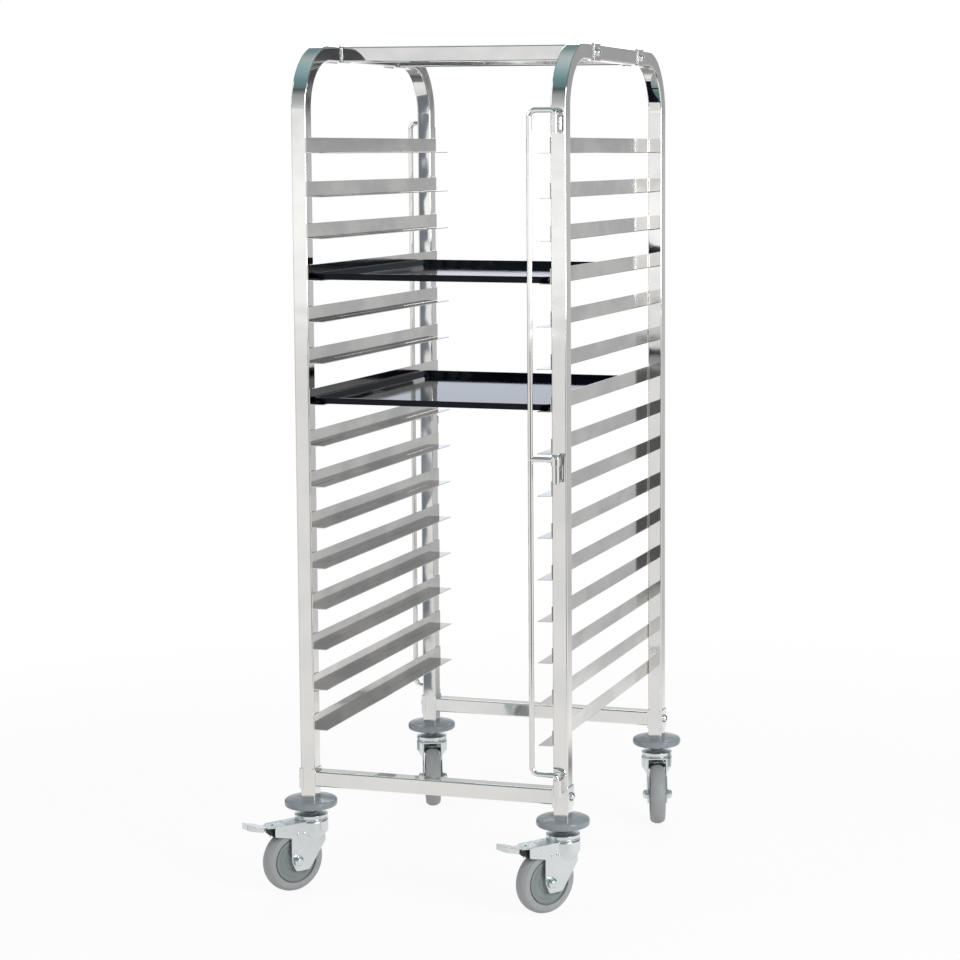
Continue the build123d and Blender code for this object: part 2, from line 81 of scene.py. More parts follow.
# %% Camera
PHOTO, SENSOR = 960, 36
focal_px, centre_px = 2422.4, (660.0, 400.0)
camera = bpy.data.objects.new("camera", bpy.data.cameras.new("camera"))
bpy.context.scene.collection.objects.link(camera)
camera.data.sensor_width = SENSOR
camera.data.lens = focal_px * SENSOR / PHOTO
camera.data.shift_x = (PHOTO / 2 - centre_px[0]) / PHOTO
camera.data.shift_y = (centre_px[1] - PHOTO / 2) / PHOTO
camera.location = (1.65296, -4.62763, 1.44752)
turn, dip, roll = math.radians(15.617), math.radians(5.939), math.radians(0.035)
aim = Matrix.Rotation(turn, 4, "Z") @ Matrix.Rotation(math.pi / 2 - dip, 4, "X")
camera.rotation_euler = (aim @ Matrix.Rotation(roll, 4, "Z")).to_euler()
bpy.context.scene.camera = camera
bpy.context.scene.view_settings.view_transform = "Standard"
print("lens:", round(camera.data.lens, 1), "mm")

# %% [markdown]
# ## Writing node trees as sums
#
# A finish is easier to read as a formula than as a picture of boxes. The first class wraps
# one socket and lets Python's own signs add the Math nodes. The second adds every other node
# from its type, its settings and the values of its sockets. Both serve materials, the world
# and Geometry Nodes.


# %% Sockets that can be added and multiplied
class Wire:
    def __init__(self, tree, socket):
        self.tree = tree
        self.socket = socket

    def maths(self, operation, first, second=None):
        return self.tree.add("ShaderNodeMath", {"operation": operation}, {0: first, 1: second})

    def __add__(self, other):
        return self.maths("ADD", self, other)

    def __sub__(self, other):
        return self.maths("SUBTRACT", self, other)

    def __rsub__(self, other):
        return self.maths("SUBTRACT", other, self)

    def __mul__(self, other):
        return self.maths("MULTIPLY", self, other)

    def __truediv__(self, other):
        return self.maths("DIVIDE", self, other)

    def __pow__(self, other):
        return self.maths("POWER", self, other)

    def __lt__(self, other):
        return self.maths("LESS_THAN", self, other)

    def __gt__(self, other):
        return self.maths("GREATER_THAN", self, other)

    def __abs__(self):
        return self.maths("ABSOLUTE", self)

    def equals(self, other):
        return self.maths("COMPARE", self, other)

    def wave(self):
        return self.maths("SINE", self)

    def above(self, edge, soft):
        """0 below the edge, 1 above it, rising smoothly over the soft width."""
        ranges = {1: edge - soft / 2, 2: edge + soft / 2}
        settings = {"interpolation_type": "SMOOTHSTEP"}
        return self.tree.add("ShaderNodeMapRange", settings, {0: self, **ranges})

    def below(self, edge, soft):
        return (edge - self).above(0.0, soft)


# %% Trees that add their own nodes
class Tree:
    def __init__(self, tree):
        self.tree = tree
        tree.nodes.clear()

    def add(self, kind, settings=None, sockets=None, out=0):
        node = self.tree.nodes.new(kind)
        for key, value in (settings or {}).items():
            if key == "stops":
                ramp = node.color_ramp.elements
                while len(ramp) < len(value):
                    ramp.new(0.5)
                for stop, (place, colour) in zip(ramp, value):
                    stop.position = place
                    stop.color = (*colour, 1)
            else:
                setattr(node, key, value)
        for key, value in (sockets or {}).items():
            for part in value if isinstance(value, list) else [value]:
                if isinstance(part, Wire):
                    self.tree.links.new(part.socket, node.inputs[key])
                elif part is not None:
                    node.inputs[key].default_value = part
        return Wire(self, node.outputs[out]) if len(node.outputs) else node

    def blend(self, mask, first, second):
        """One colour where the mask is 0 and another where it is 1."""
        first, second = [(*c, 1) if isinstance(c, tuple) else c for c in (first, second)]
        settings = {"data_type": "RGBA"}
        return self.add("ShaderNodeMix", settings, {0: mask, 6: first, 7: second}, 2)

    def noise(self, place, scale, detail=3.0, stretch=(1, 1, 1)):
        spread = self.add("ShaderNodeMapping", None, {0: place, 3: stretch})
        sockets = {"Vector": spread, "Scale": scale, "Detail": detail}
        return self.add("ShaderNodeTexNoise", None, sockets)

    def place(self):
        """Object coordinates: the frame's own metres, the same for every piece."""
        return self.add("ShaderNodeTexCoord", None, None, 3)

    def relief(self, height, depth):
        return self.add("ShaderNodeBump", None, {"Height": height, "Distance": depth})

    def surface(self, sockets):
        shader = self.add("ShaderNodeBsdfPrincipled", None, sockets)
        self.add("ShaderNodeOutputMaterial", None, {0: shader})


# %% [markdown]
# ## Studio
#
# Polished steel has no look of its own: it shows the room. In a photographer's room a sheet
# of white paper runs from the front to the far left. The far right corner is grey, and the
# ceiling is dark with a hint of green. Dark curtains hang in both far corners. Two low dark
# bands lie just above the horizon, at the far right and behind the camera. Together they
# draw the thin dark lines along the edges of tubes and rods. Only mirror-like rays see this
# room. The camera sees plain white, and dull things are lit by an even grey.


# %% Bearings in the room
def bearing(tree, along, across):
    """The angle about the upright axis, from +X towards +Y, in radians."""
    return tree.add("ShaderNodeMath", {"operation": "ARCTAN2"}, {0: along, 1: across})


def sector(angle, centre, half, soft=8):
    """1 within so many degrees to either side of a bearing."""
    return abs(angle - math.radians(centre)).below(math.radians(half), math.radians(soft))


def curtains(angle):
    return sector(angle, 41, 11) + sector(angle, 147, 16)


# %% The colours of the room by height
# A height of 0 is straight down, 0.5 is the horizon and 1 is straight up.
PURE, EVEN = (1.0, 1.0, 1.0), (0.52, 0.52, 0.52)
WHITE, COOL = (1.06, 1.06, 1.05), (0.95, 1.02, 1.13)
GREY, CURTAIN = (0.37, 0.37, 0.38), (0.07, 0.075, 0.08)
ceiling = [(0.72, (0.14, 0.22, 0.225)), (0.88, (0.21, 0.30, 0.31)), (1.0, (0.55, 0.60, 0.60))]
above_paper = [
    (0.488, WHITE),
    (0.507, (0.90, 0.90, 0.91)),
    (0.53, (0.68, 0.68, 0.69)),
    (0.587, (0.50, 0.51, 0.51)),
    (0.70, (0.33, 0.35, 0.35)),
    (0.765, (0.085, 0.105, 0.11)),
    (0.80, (0.13, 0.21, 0.22)),
    (0.88, (0.17, 0.28, 0.30)),
    (0.95, (0.28, 0.42, 0.45)),
    (1.0, (0.55, 0.60, 0.60)),
]
left_wall = [(0.0, WHITE), (0.51, WHITE), (0.53, COOL), (0.57, COOL), (0.60, (0.74, 0.74, 0.74))]
right_wall = [(0.0, (0.60, 0.60, 0.60)), (0.497, (0.55, 0.55, 0.56)), (0.51, GREY), (0.62, GREY)]
rooms = {
    "front": [(0.0, WHITE)] + above_paper,
    "far left": left_wall + ceiling,
    "far right": right_wall + ceiling,
}
print("the room has", len(rooms), "sides")

# %% The room that the steel mirrors
CURTAIN_TOP, BAND_LOW, BAND_HIGH = 0.62, 0.508, 0.548
world = bpy.data.worlds.new("studio")
bpy.context.scene.world = world
world.use_nodes = True
sky = Tree(world.node_tree)
to_camera = sky.add("ShaderNodeLightPath", None, None, "Is Camera Ray")
to_gloss = sky.add("ShaderNodeLightPath", None, None, "Is Glossy Ray")
heading = sky.add("ShaderNodeTexCoord")
across, along, upward = [
    sky.add("ShaderNodeSeparateXYZ", None, {0: heading}, k) for k in range(3)
]
height = upward * 0.5 + 0.5
front, far_left, far_right = [
    sky.add("ShaderNodeValToRGB", {"stops": stops}, {0: height}) for stops in rooms.values()
]
back = sky.blend(across.above(0.05, 0.4), far_left, far_right)
room = sky.blend(along.above(0.05, 0.3), front, back)
angle = bearing(sky, along, across)
bands = sector(angle, 58, 11, 3) + sector(angle, -65, 9, 4)
bands = bands * height.above(BAND_LOW, 0.014) * height.below(BAND_HIGH, 0.02)
dark = (curtains(angle) + bands) * height.below(CURTAIN_TOP, 0.05)
room = sky.blend(dark, room, CURTAIN)
plain = sky.blend(to_gloss, EVEN, room)
colour = sky.blend(to_camera, plain, PURE)
glow = sky.add("ShaderNodeBackground", None, {0: colour, 1: 1.0})
sky.add("ShaderNodeOutputWorld", None, {0: glow})
print("the world has", len(world.node_tree.nodes), "nodes")

# %% [markdown]
# ## Floor
#
# The floor is matt and pale. For the camera most of its light is plain white, so the picture
# ends in white while the wheels keep a soft shadow. Away from the trolley it is all white.
# Mirror-like rays see more: the paper is a little greyer to the front and grey at the far right,
# and close behind the trolley they see a painted shadow of the trolley. It ends at the curtains,
# and around the camera it gives way to a dark studio floor.


# %% Materials and planes for the stage
def new_material(name):
    material = bpy.data.materials.new(name)
    material.use_nodes = True
    print("finish:", name)
    return material, Tree(material.node_tree)


def new_plane(name, corners, material):
    mesh = bpy.data.meshes.new(name)
    mesh.from_pydata(corners, [], [(0, 1, 2, 3)])
    mesh.materials.append(material)
    plane = bpy.data.objects.new(name, mesh)
    bpy.context.scene.collection.objects.link(plane)
    return plane


# %% Floor paint
floor_paint, paint = new_material("pale floor")
seen = paint.add("ShaderNodeLightPath", None, None, "Is Camera Ray")
mirrored = paint.add("ShaderNodeLightPath", None, None, "Is Glossy Ray")
where = paint.place()
east, north = [paint.add("ShaderNodeSeparateXYZ", None, {0: where}, k) for k in range(2)]
away = paint.add("ShaderNodeVectorMath", {"operation": "LENGTH"}, {0: where}, 1)
angle = bearing(paint, north, east)
to_front = (north * -1.0).above(0.4, 0.6) * away.below(16.0, 10.0)
at_far_right = north.above(1.6, 2.0) * east.above(0.2, 1.0)
# Painted shadow: a darker patch close behind the trolley stands in for its shade on the floor, seen
# only by mirror rays.
painted_shadow_behind = north.above(0.9, 0.6) * north.below(3.4, 1.4) * east.below(0.3, 0.6)
by_camera = sector(angle, -68, 18) * away.above(2.4, 1.2) * away.below(13.0, 4.0)
tones = [
    (to_front, (0.80, 0.795, 0.785)),
    (at_far_right, (0.55, 0.55, 0.56)),
    (painted_shadow_behind, (0.30, 0.30, 0.30)),
    (by_camera, (0.12, 0.125, 0.12)),
    (curtains(angle) * away.above(0.8, 0.4), CURTAIN),
]
tone = PURE
for mask, darker in tones:
    tone = paint.blend(mask * mirrored, tone, darker)
matt = paint.add("ShaderNodeBsdfDiffuse", None, {0: (0.93, 0.93, 0.93, 1)})
white = paint.add("ShaderNodeEmission", None, {0: tone, 1: 1.0})
for_camera = away.above(1.9, 1.6) * 0.09 + 0.91
for_mirrors = away.above(1.0, 1.2) * 0.4 + 0.6
share = seen * for_camera + mirrored * for_mirrors
both = paint.add("ShaderNodeMixShader", None, {0: share, 1: matt, 2: white})
paint.add("ShaderNodeOutputMaterial", None, {0: both})

# %% Floor
far = 30
square = [(-far, -far, 0), (far, -far, 0), (far, far, 0), (-far, far, 0)]
floor = new_plane("floor", square, floor_paint)
floor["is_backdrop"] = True

# %% [markdown]
# ## Lamps
#
# Three large soft lamps shape the dull things: wheels, bumpers and the floor's shadow. The
# key stands high at the left, so that no flat face of the bends mirrors it towards the camera.
# The side lamp fills from the right, and the back lamp lifts the rear posts off the paper.


# %% Three soft lamps
def softbox(name, place, target, size, power):
    lamp = bpy.data.lights.new(name, "AREA")
    lamp.shape = "RECTANGLE"
    lamp.size, lamp.size_y = size
    lamp.energy = power
    holder = bpy.data.objects.new(name, lamp)
    holder.location = place
    way = Vector(target) - Vector(place)
    holder.rotation_euler = way.to_track_quat("-Z", "Y").to_euler()
    bpy.context.scene.collection.objects.link(holder)
    print(name, "with", power, "watts")


softbox("key lamp", (-3.6, -2.5, 3.2), (0, 0, 0.8), (1.6, 2.6), 34)
softbox("side lamp", (3.6, -1.8, 2.0), (0, 0, 0.8), (1.2, 2.4), 78)
softbox("back lamp", (-1.0, 3.6, 3.0), (0, 0, 1.0), (2.4, 1.4), 34)

# %% [markdown]
# ## A grey flag
#
# A photographer stands a grey card beside a shiny thing, to give one of its faces some depth.
# This one stands at the front left corner, where the rear left post and rod mirror it. Only
# mirror-like rays meet it. Every other ray passes through as if it were air.

# %% Grey flag
card, paper = new_material("grey flag")
mirrored = paper.add("ShaderNodeLightPath", None, None, "Is Glossy Ray")
slate = paper.add("ShaderNodeEmission", None, {0: (0.17, 0.19, 0.215, 1), 1: 1.0})
air = paper.add("ShaderNodeBsdfTransparent", None, {0: (1, 1, 1, 1)})
either = paper.add("ShaderNodeMixShader", None, {0: mirrored, 1: air, 2: slate})
paper.add("ShaderNodeOutputMaterial", None, {0: either})
left, right, y, top = -0.85, -0.648, -0.7, 1.9
flag = new_plane("flag", [(left, y, 0), (right, y, 0), (right, y, top), (left, y, top)], card)
flag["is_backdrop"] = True

# %% [markdown]
# ## Polished steel
#
# The tubes, rails, saddles and rods are mirror polished. A perfect mirror looks artificial,
# so three things break it up: faint finger smudges in the roughness, a slow waviness of the
# sheet in the bump, and a trace of warmth in the colour.

# %% Polished steel
polished_steel, p = new_material("polished steel")
here = p.place()
smudge = p.noise(here, 11.0, 4.0)
fine = p.noise(here, 420.0, 2.0)
patchy = smudge.above(0.55, 0.3)
ripple = p.noise(here, 17.0, 1.0)
p.surface(
    {
        "Base Color": p.blend(patchy, (0.88, 0.875, 0.86), (0.82, 0.82, 0.81)),
        "Metallic": 1.0,
        "Roughness": patchy * 0.04 + fine * 0.03 + 0.02,
        "Normal": p.relief(ripple, 0.0005),
    }
)

# %% [markdown]
# ## Satin steel
#
# The runners are cut from duller sheet, which still mirrors the post beside it. Its grain
# runs along each runner, so the noise is squeezed a hundredfold along Y. It drives the
# roughness and a very shallow bump. Soft warm clouds are the marks of rolling and handling.

# %% Satin steel
satin_steel, p = new_material("satin steel")
here = p.place()
grain = p.noise(here, 900.0, 3.0, (1, 0.008, 1))
cloud = p.noise(here, 14.0, 4.0, (1, 0.5, 1))
marks = grain * 0.4 + cloud.above(0.5, 0.3) * 0.6
p.surface(
    {
        "Base Color": p.blend(marks, (0.60, 0.595, 0.585), (0.84, 0.83, 0.80)),
        "Metallic": 1.0,
        "Roughness": grain * 0.06 + cloud * 0.06 + 0.03,
        "Normal": p.relief(grain, 0.00003),
    }
)

# %% [markdown]
# ## Zinc plate
#
# Forks, stems, axles and pedals are pressed steel with a bluish zinc plate. Plating dries in
# soft clouds of slightly different blue, and the rough sheet below it shows as a fine pitting.

# %% Zinc plate
zinc_plate, p = new_material("zinc plate")
here = p.place()
cloud = p.noise(here, 70.0, 4.0)
pits = p.noise(here, 1400.0, 2.0)
p.surface(
    {
        "Base Color": p.blend(cloud.above(0.5, 0.7), (0.74, 0.78, 0.785), (0.79, 0.82, 0.825)),
        "Metallic": 1.0,
        "Roughness": cloud * 0.08 + pits * 0.08 + 0.17,
        "Normal": p.relief(pits, 0.00006),
    }
)

# %% [markdown]
# ## Bumpers, hubs and tyres
#
# All three are moulded, in a blue grey plastic, a greener one and a paler grey rubber. The
# skin of the mould leaves a very fine grain. A turned piece below carries its own radius as
# an attribute called reach, so the scuffs can sit on the rim, where walls and floors rub it,
# and fine mould rings can run around the axis.


# %% Bumper, hub and tyre
def turned_finish(name, dark, pale, roughness, worn_from, ring_gap):
    """Grain everywhere, scuffs beyond a radius and fine rings around the axis."""
    material, p = new_material(name)
    here = p.place()
    reach = p.add("ShaderNodeAttribute", {"attribute_name": "reach"}, None, 2)
    grain = p.noise(here, 1800.0, 2.0)
    scuff = p.noise(here, 160.0, 4.0, (1, 1, 3)).above(0.56, 0.12) * reach.above(worn_from, 0.006)
    rings = (reach * (2 * math.pi / ring_gap)).wave() * 0.5 + 0.5
    tone = p.noise(here, 35.0, 3.0)
    p.surface(
        {
            "Base Color": p.blend(scuff * 0.15 + tone.above(0.5, 0.8) * 0.4, dark, pale),
            "Roughness": scuff * 0.08 + grain * 0.05 + roughness,
            "Normal": p.relief(grain * 0.15 + rings * 0.25, 0.00008),
        }
    )
    return material


turned_finishes = {
    "bumper grey": ((0.25, 0.29, 0.315), (0.34, 0.38, 0.395), 0.17, 0.047, 0.0040),
    "hub grey": ((0.215, 0.255, 0.245), (0.30, 0.34, 0.33), 0.38, 0.030, 0.0032),
    "tyre grey": ((0.34, 0.355, 0.36), (0.44, 0.45, 0.445), 0.46, 0.059, 0.0026),
}
bumper_grey, hub_grey, tyre_grey = [
    turned_finish(name, *values) for name, values in turned_finishes.items()
]

# %% [markdown]
# ## Brake rubber and black trays
#
# The brake shoe is dull black rubber with a coarse skin. The trays have a dark coat baked on
# to steel. It is smooth enough to mirror a pale room at a low angle, which is why their
# floors look light in the photograph while their rims look black.

# %% Rubber and tray coat
brake_rubber, p = new_material("brake rubber")
crumbs = p.noise(p.place(), 700.0, 4.0)
p.surface(
    {
        "Base Color": p.blend(crumbs, (0.004, 0.004, 0.0045), (0.014, 0.014, 0.015)),
        "Roughness": crumbs * 0.2 + 0.55,
        "Normal": p.relief(crumbs, 0.0002),
    }
)

tray_black, p = new_material("black tray coat")
here = p.place()
orange_peel = p.noise(here, 260.0, 2.0)
haze = p.noise(here, 14.0, 5.0).above(0.5, 0.35)
specks = p.noise(here, 900.0, 1.0).above(0.72, 0.06)
marks = haze * 0.6 + specks * 0.4
p.surface(
    {
        "Base Color": p.blend(marks, (0.003, 0.004, 0.008), (0.007, 0.010, 0.018)),
        "Roughness": haze * 0.03 + specks * 0.08 + 0.03,
        "Specular IOR Level": 0.12,
        "Normal": p.relief(orange_peel, 0.00004),
    }
)

# %% [markdown]
# ## Adding a piece
#
# Each piece stands for one or more nodes of the measured model. It takes their place, rides
# on their body and names the finish that it wears. Before that, its modifiers are run once,
# so that a plain mesh is left.


# %% Adding a piece
def add_piece(name, mesh, material, body, nodes):
    piece = bpy.data.objects.new(name, mesh)
    bpy.context.scene.collection.objects.link(piece)
    mesh.materials.clear()
    mesh.materials.append(material)
    if nodes:
        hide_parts(*nodes)
    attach(piece, body)
    print(name, "has", len(mesh.polygons), "faces")
    return piece


# %% Running the modifiers of a piece
EDGE_ANGLE = 32


def settle(name, mesh, edge=0.0, growth=None):
    """Grows and bevels a mesh where asked, and gives back the plain result, evenly shaded."""
    holder = bpy.data.objects.new(name, mesh)
    bpy.context.scene.collection.objects.link(holder)
    if growth:
        tree, sizes = growth
        modifier = holder.modifiers.new("growth", "NODES")
        modifier.node_group = tree
        for item in tree.interface.items_tree:
            if item.in_out == "INPUT" and item.name in sizes:
                modifier[item.identifier] = sizes[item.name]
    if edge:
        bevel = holder.modifiers.new("edge", "BEVEL")
        bevel.width, bevel.segments = edge, 2
        bevel.limit_method, bevel.angle_limit = "ANGLE", math.radians(EDGE_ANGLE)
        bevel.use_clamp_overlap = False
    even = holder.modifiers.new("even", "WEIGHTED_NORMAL")
    even.keep_sharp = True
    even.weight = 100
    shown = holder.evaluated_get(bpy.context.evaluated_depsgraph_get())
    result = bpy.data.meshes.new_from_object(shown)
    bpy.data.objects.remove(holder)
    result.name = name
    return result


# %% [markdown]
# ## Trees that build shapes
#
# A Geometry Nodes tree is a small machine with labelled dials. The first helper makes one
# with a dial for each size. The second closes it: instances become real, sharp corners are
# marked by their angle, and the finish is set. The third draws the line that a tree follows.


# %% Starting and closing a tree
def growing_tree(name, sizes):
    group = bpy.data.node_groups.new(name, "GeometryNodeTree")
    group.interface.new_socket("Shape", in_out="OUTPUT", socket_type="NodeSocketGeometry")
    group.interface.new_socket("Line", in_out="INPUT", socket_type="NodeSocketGeometry")
    for label, value in sizes.items():
        kind = "NodeSocketInt" if isinstance(value, int) else "NodeSocketFloat"
        dial = group.interface.new_socket(label, in_out="INPUT", socket_type=kind)
        dial.default_value = value
    tree = Tree(group)
    line = tree.add("NodeGroupInput")
    dials = {label: Wire(tree, line.socket.node.outputs[label]) for label in sizes}
    print("tree:", name, {label: round(value, 4) for label, value in sizes.items()})
    return group, tree, line, dials


def close_tree(tree, shape, material, sharp=35):
    """Instances made real, smooth shading up to the sharp angle, finish set."""
    shape = tree.add("GeometryNodeRealizeInstances", None, {0: shape})
    shape = tree.add("GeometryNodeSetShadeSmooth", None, {0: shape, 2: True})
    corner = tree.add("GeometryNodeInputMeshEdgeAngle") > math.radians(sharp)
    crisp = {"Geometry": shape, "Selection": corner, "Shade Smooth": False}
    shape = tree.add("GeometryNodeSetShadeSmooth", {"domain": "EDGE"}, crisp)
    shape = tree.add("GeometryNodeSetMaterial", None, {"Geometry": shape, "Material": material})
    tree.add("NodeGroupOutput", None, {0: shape})


def line_mesh(name, points, closed=False):
    """Points joined by edges, for a tree to follow."""
    edges = [(k, k + 1) for k in range(len(points) - 1)]
    if closed:
        edges.append((len(points) - 1, 0))
    mesh = bpy.data.meshes.new(name)
    mesh.from_pydata(points, edges, [])
    return mesh


# %% [markdown]
# ## Side frames
#
# Each side frame is one square tube bent twice into an upturned U. A bent tube is a path with
# rounded corners and a section swept along it, so four points are enough: the tree rounds
# the path, rounds a square for the section and sweeps it. More steps make smoother bends.

# %% The tree of a bent square tube
tube_sizes = {"Width": 0.030, "Corner": 0.003, "Corner steps": 5, "Bend": 0.110, "Bend steps": 40}
tube_tree, t, line, dial = growing_tree("bent square tube", tube_sizes)
path = t.add("GeometryNodeMeshToCurve", None, {0: line})
bend = {"Curve": path, "Count": dial["Bend steps"], "Radius": dial["Bend"]}
path = t.add("GeometryNodeFilletCurve", {"mode": "POLY"}, bend)
square = {"Width": dial["Width"], "Height": dial["Width"]}
section = t.add("GeometryNodeCurvePrimitiveQuadrilateral", None, square)
corner = {"Curve": section, "Count": dial["Corner steps"], "Radius": dial["Corner"]}
section = t.add("GeometryNodeFilletCurve", {"mode": "POLY"}, corner)
sweep = {"Curve": path, "Profile Curve": section, "Fill Caps": True}
close_tree(t, t.add("GeometryNodeCurveToMesh", None, sweep), polished_steel)

# %% Both side frames
half = tube_sizes["Width"] / 2
for side in ("left", "right"):
    node = f"{side}_side_frame"
    low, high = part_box(node)
    x, front, rear = (low.x + high.x) / 2, low.y + half, high.y - half
    top = high.z - half
    path = [(x, front, low.z), (x, front, top), (x, rear, top), (x, rear, low.z)]
    mesh = settle(node, line_mesh(node, path), growth=(tube_tree, tube_sizes))
    add_piece(f"{side}_bent_tube", mesh, polished_steel, "frame", [node])

# %% [markdown]
# ## Runners
#
# Thirty angle strips follow one rule: the same L section, the same length, equal steps of
# height with one larger step at the top, and the right side turned half round for the left.
# That is work for a tree. It sweeps the section once and places it at every height.

# %% Sizes of the runners
tiers = sorted(name for name in frame["nodes"] if name.startswith("tier_"))
heights = [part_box(name)[1].z for name in tiers]
low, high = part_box(tiers[0])
face, depth, sheet, ledge = high.x, high.z - low.z, 0.0015, 0.028
runner_sizes = {
    "Tiers": len(tiers),
    "Top": heights[0],
    "First step": heights[0] - heights[1],
    "Step": heights[1] - heights[2],
    "Length": high.y - low.y,
    "Outer bend": 0.0025,
    "Inner bend": 0.001,
}

# %% The tree of the runners: one strip
runner_tree, t, line, dial = growing_tree("runners", runner_sizes)
index = t.add("GeometryNodeInputIndex")
rounding = index.equals(1.0) * dial["Outer bend"] + index.equals(4.0) * dial["Inner bend"]
section = t.add("GeometryNodeMeshToCurve", None, {0: line})
bend = {"Curve": section, "Count": 6, "Radius": rounding}
section = t.add("GeometryNodeFilletCurve", {"mode": "POLY"}, bend)
ends = [t.add("ShaderNodeCombineXYZ", None, {2: dial["Length"] * end}) for end in (-0.5, 0.5)]
straight = t.add("GeometryNodeCurvePrimitiveLine", None, {"Start": ends[0], "End": ends[1]})
strip = {"Curve": straight, "Profile Curve": section, "Fill Caps": True}
strip = t.add("GeometryNodeCurveToMesh", None, strip)
level = {"Geometry": strip, "Rotation": (math.pi / 2, 0, 0)}
strip = t.add("GeometryNodeTransform", None, level)

# %% The tree of the runners: a strip at every height, on both sides
larger = dial["First step"] - dial["Step"]
start = t.add("ShaderNodeCombineXYZ", None, {2: dial["Top"] - larger})
step = t.add("ShaderNodeCombineXYZ", None, {2: dial["Step"] * -1.0})
stack = {"Count": dial["Tiers"], "Start Location": start, "Offset": step}
stack = t.add("GeometryNodeMeshLine", None, stack)
lift = t.add("ShaderNodeCombineXYZ", None, {2: larger})
raised = {"Geometry": stack, "Selection": index < 0.5, "Offset": lift}
stack = t.add("GeometryNodeSetPosition", None, raised)
sides = []
for half_turn in (0.0, math.pi):
    strips = {"Points": stack, "Instance": strip, "Rotation": (0, 0, half_turn)}
    sides.append(t.add("GeometryNodeInstanceOnPoints", None, strips))
close_tree(t, t.add("GeometryNodeJoinGeometry", None, {0: sides}), satin_steel)

# %% Thirty runners in one piece
outline = [
    (face, 0, 0),
    (face, -depth, 0),
    (face - ledge, -depth, 0),
    (face - ledge, sheet - depth, 0),
    (face - sheet, sheet - depth, 0),
    (face - sheet, 0, 0),
]
mesh = line_mesh("runners", outline, closed=True)
mesh = settle("runners", mesh, growth=(runner_tree, runner_sizes))
add_piece("runners", mesh, satin_steel, "frame", tiers)

# %% [markdown]
# ## Weld beads
#
# Every runner end is welded to its post above and below. A bead of weld is a short string of
# overlapping drops, so the tree takes a thin cylinder, swells it by a wave along its length,
# thins its ends and sets one on each spot, each turned a little by a fixed seed.

# %% The tree of the weld beads
bead_sizes = {"Length": 0.019, "Radius": 0.0011, "Drops": 5.0, "Swelling": 0.30, "Seed": 7}
bead_tree, t, line, dial = growing_tree("weld beads", bead_sizes)
bead = {"Vertices": 6, "Side Segments": 12, "Radius": dial["Radius"], "Depth": dial["Length"]}
bead = t.add("GeometryNodeMeshCylinder", None, bead)
spot = t.add("GeometryNodeInputPosition")
x, y, z = [t.add("ShaderNodeSeparateXYZ", None, {0: spot}, k) for k in range(3)]
drops = (z * math.pi * dial["Drops"] / dial["Length"]).wave()
thin = 1.0 - abs(z * 2.0 / dial["Length"]) ** 6.0 * 0.6
thick = (abs(drops) * dial["Swelling"] + 0.8) * thin
swollen = t.add("ShaderNodeCombineXYZ", None, {0: x * thick, 1: y * thick, 2: z})
bead = t.add("GeometryNodeSetPosition", None, {"Geometry": bead, "Position": swollen})
bead = t.add("GeometryNodeTransform", None, {"Geometry": bead, "Rotation": (math.pi / 2, 0, 0)})
tilt = {0: (-0.04, 0, -0.03), 1: (0.04, 0, 0.03), "Seed": dial["Seed"]}
tilt = t.add("FunctionNodeRandomValue", {"data_type": "FLOAT_VECTOR"}, tilt)
beads = {"Points": line, "Instance": bead, "Rotation": tilt}
close_tree(t, t.add("GeometryNodeInstanceOnPoints", None, beads), polished_steel, 60)

# %% Beads at every runner end
sunk, proud, inset = 0.0006, 0.0002, 0.001
bead_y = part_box("right_side_frame")[1].y - tube_sizes["Width"] / 2 - inset
spots = []
for top in heights:
    for side in (-1, 1):
        for y in (-bead_y, bead_y):
            spots.append((side * (face - sunk), y, top + proud))
            spots.append((side * (face + proud), y, top - depth - proud))
mesh = bpy.data.meshes.new("weld spots")
mesh.from_pydata(spots, [], [])
mesh = settle("weld_beads", mesh, growth=(bead_tree, bead_sizes))
add_piece("weld_beads", mesh, polished_steel, "frame", [])

# %% [markdown]
# ## Retaining rods
#
# Each rod is one bar with tight bends at its pins and wider ones at its corners. The same
# idea as the tubes works, with a round section and a bend radius that depends on the corner.

# %% The tree of a bent round bar
bar_sizes = {"Radius": 0.005, "Pin bend": 0.008, "Corner bend": 0.014, "Round steps": 24}
bar_tree, t, line, dial = growing_tree("bent round bar", bar_sizes)
index = t.add("GeometryNodeInputIndex")
is_corner = abs(index - 2.5) < 1.0
radius = dial["Pin bend"] + is_corner * (dial["Corner bend"] - dial["Pin bend"])
path = t.add("GeometryNodeMeshToCurve", None, {0: line})
bend = {"Curve": path, "Count": 12, "Radius": radius}
path = t.add("GeometryNodeFilletCurve", {"mode": "POLY"}, bend)
ring = {"Resolution": dial["Round steps"], "Radius": dial["Radius"]}
ring = t.add("GeometryNodeCurvePrimitiveCircle", None, ring)
sweep = {"Curve": path, "Profile Curve": ring, "Fill Caps": True}
close_tree(t, t.add("GeometryNodeCurveToMesh", None, sweep), polished_steel, 50)


# %% [markdown]
# ## Turned pieces
#
# Knuckles, discs, wheels, domes and rivets are all turned shapes: an outline spun about an
# axis. Each row of an outline is a radius, a height along the axis and the rounding of that
# corner, in metres. The first function rounds the corners. The second spins the result and
# keeps the radius of every point as the attribute reach, which the moulded finishes read.


# %% Rounding an outline
def rounded(outline, steps=4):
    """Replaces each (radius, height, rounding) corner by a short arc."""
    result = []
    for k, (r, z, rounding) in enumerate(outline):
        here = Vector((r, z))
        before = Vector(outline[k - 1][:2]) - here
        after = Vector(outline[(k + 1) % len(outline)][:2]) - here
        if rounding <= 0 or before.length < 1e-9 or after.length < 1e-9:
            result.append((r, z))
            continue
        angle = before.angle(after)
        cut = rounding / math.tan(angle / 2)
        start, end = here + before.normalized() * cut, here + after.normalized() * cut
        for n in range(steps + 1):
            f = n / steps
            bend = start.lerp(here, f).lerp(here.lerp(end, f), f)
            result.append(tuple(bend))
    return result


